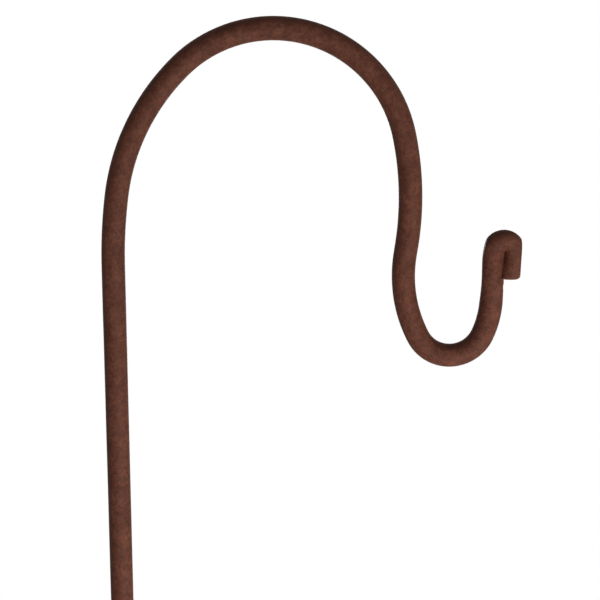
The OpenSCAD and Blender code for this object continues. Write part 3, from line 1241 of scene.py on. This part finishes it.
# %% [markdown]
# ## Floor, background and light
# The photograph has a pure white ground. A brighter lamp would bleach the coat, so the white
# is only what the camera, gloss and glass see: the world and the outer floor show white to
# those rays. Near the pole, almost half of what shows is an ordinary pale floor, so it keeps
# its soft shadow.

# %% Lay the floor
FLOOR_GAP = 0.5 * MM
FLOOR_SIDES = 96
FLOOR_R = 6.0

clear_selection()
floor_z = cad_low.z - FLOOR_GAP
bpy.ops.mesh.primitive_circle_add(
    vertices=FLOOR_SIDES, radius=FLOOR_R, fill_type="NGON", location=(0, 0, floor_z)
)
floor = bpy.context.active_object
floor.name = floor.data.name = "floor"
bpy.ops.object.transform_apply(location=True, rotation=True, scale=True)
print("floor at", round(floor_z / MM, 1), "mm")

# %% Tell the camera's rays from the light's own
def seen_directly(tree):
    """Returns 1 for camera, glossy and transmission rays, and 0 for the light's own rays."""
    path = tree.nodes.new("ShaderNodeLightPath")
    total = path.outputs["Is Camera Ray"]
    for ray in ("Is Glossy Ray", "Is Transmission Ray"):
        larger = tree.nodes.new("ShaderNodeMath")
        larger.operation = "MAXIMUM"
        tree.links.new(total, larger.inputs[0])
        tree.links.new(path.outputs[ray], larger.inputs[1])
        total = larger.outputs["Value"]
    return total


# %% Fade the floor to white
# White is NEAR_WHITE of what the camera sees out to SHADE_R, and all of it from WHITE_R on
SHADE_R = 0.5
WHITE_R = 1.4
NEAR_WHITE = 0.55
FLOOR_GREY = 0.8
FLOOR_ROUGHNESS = 0.9
FLOOR_SPECULAR = 0.1


def mix_floor(name):
    """Makes a pale floor that fades to plain white away from the pole."""
    material, tree, shader, place = new_material(name)
    shader.inputs["Base Color"].default_value = (FLOOR_GREY, FLOOR_GREY, FLOOR_GREY, 1)
    shader.inputs["Roughness"].default_value = FLOOR_ROUGHNESS
    shader.inputs["Specular IOR Level"].default_value = FLOOR_SPECULAR
    level_place = tree.nodes.new("ShaderNodeVectorMath")
    level_place.operation = "MULTIPLY"
    level_place.inputs[1].default_value = (1, 1, 0)
    away = tree.nodes.new("ShaderNodeVectorMath")
    away.operation = "LENGTH"
    fade = tree.nodes.new("ShaderNodeMapRange")
    fade.interpolation_type = "SMOOTHSTEP"
    fade.inputs["From Min"].default_value = SHADE_R
    fade.inputs["From Max"].default_value = WHITE_R
    fade.inputs["To Min"].default_value = NEAR_WHITE
    white = tree.nodes.new("ShaderNodeEmission")
    share = tree.nodes.new("ShaderNodeMath")
    share.operation = "MULTIPLY"
    both = tree.nodes.new("ShaderNodeMixShader")
    for source, target in (
        (place, level_place.inputs[0]),
        (level_place.outputs["Vector"], away.inputs[0]),
        (away.outputs["Value"], fade.inputs["Value"]),
        (fade.outputs["Result"], share.inputs[0]),
        (seen_directly(tree), share.inputs[1]),
        (share.outputs["Value"], both.inputs["Fac"]),
        (shader.outputs["BSDF"], both.inputs[1]),
        (white.outputs["Emission"], both.inputs[2]),
        (both.outputs["Shader"], tree.nodes["Material Output"].inputs["Surface"]),
    ):
        tree.links.new(source, target)
    return material


floor.data.materials.append(mix_floor("pale_floor"))
print("floor white from", WHITE_R, "m out")

# %% Give the light a grey world and the camera a white one
WORLD_GREY = 0.14

world = bpy.data.worlds.new("studio")
bpy.context.scene.world = world
world.use_nodes = True
sky = world.node_tree
grey = sky.nodes["Background"]
grey.inputs["Color"].default_value = (1, 1, 1, 1)
grey.inputs["Strength"].default_value = WORLD_GREY
white = sky.nodes.new("ShaderNodeBackground")
white.inputs["Color"].default_value = (1, 1, 1, 1)
choice = sky.nodes.new("ShaderNodeMixShader")
sky.links.new(seen_directly(sky), choice.inputs["Fac"])
sky.links.new(grey.outputs["Background"], choice.inputs[1])
sky.links.new(white.outputs["Background"], choice.inputs[2])
sky.links.new(choice.outputs["Shader"], sky.nodes["World Output"].inputs["Surface"])
print("world", WORLD_GREY, "for the light and white for the camera")

# %% Hang the softboxes
SUBJECT = Vector((0.1, 0, 0.88))
# Name, place in metres, side in metres and power in watts of each softbox
SOFTBOXES = [
    ("key_softbox", (0.46, -0.66, 0.5), 0.45, 9.0),
    ("back_softbox", (0.1, 1.4, 0.7), 0.6, 14),
]


def softbox(name, place, size, power):
    """Hangs a square softbox that is aimed at the crook."""
    bpy.ops.object.light_add(type="AREA", location=place)
    lamp = bpy.context.active_object
    lamp.name = lamp.data.name = name
    lamp.rotation_euler = (SUBJECT - Vector(place)).to_track_quat("-Z", "Y").to_euler()
    lamp.data.size = size
    lamp.data.energy = power
    lamp.visible_camera = False


for name, place, size, power in SOFTBOXES:
    softbox(name, place, size, power)
bpy.context.scene.view_settings.view_transform = "Standard"
print(len(SOFTBOXES), "softboxes aimed at", tuple(SUBJECT))
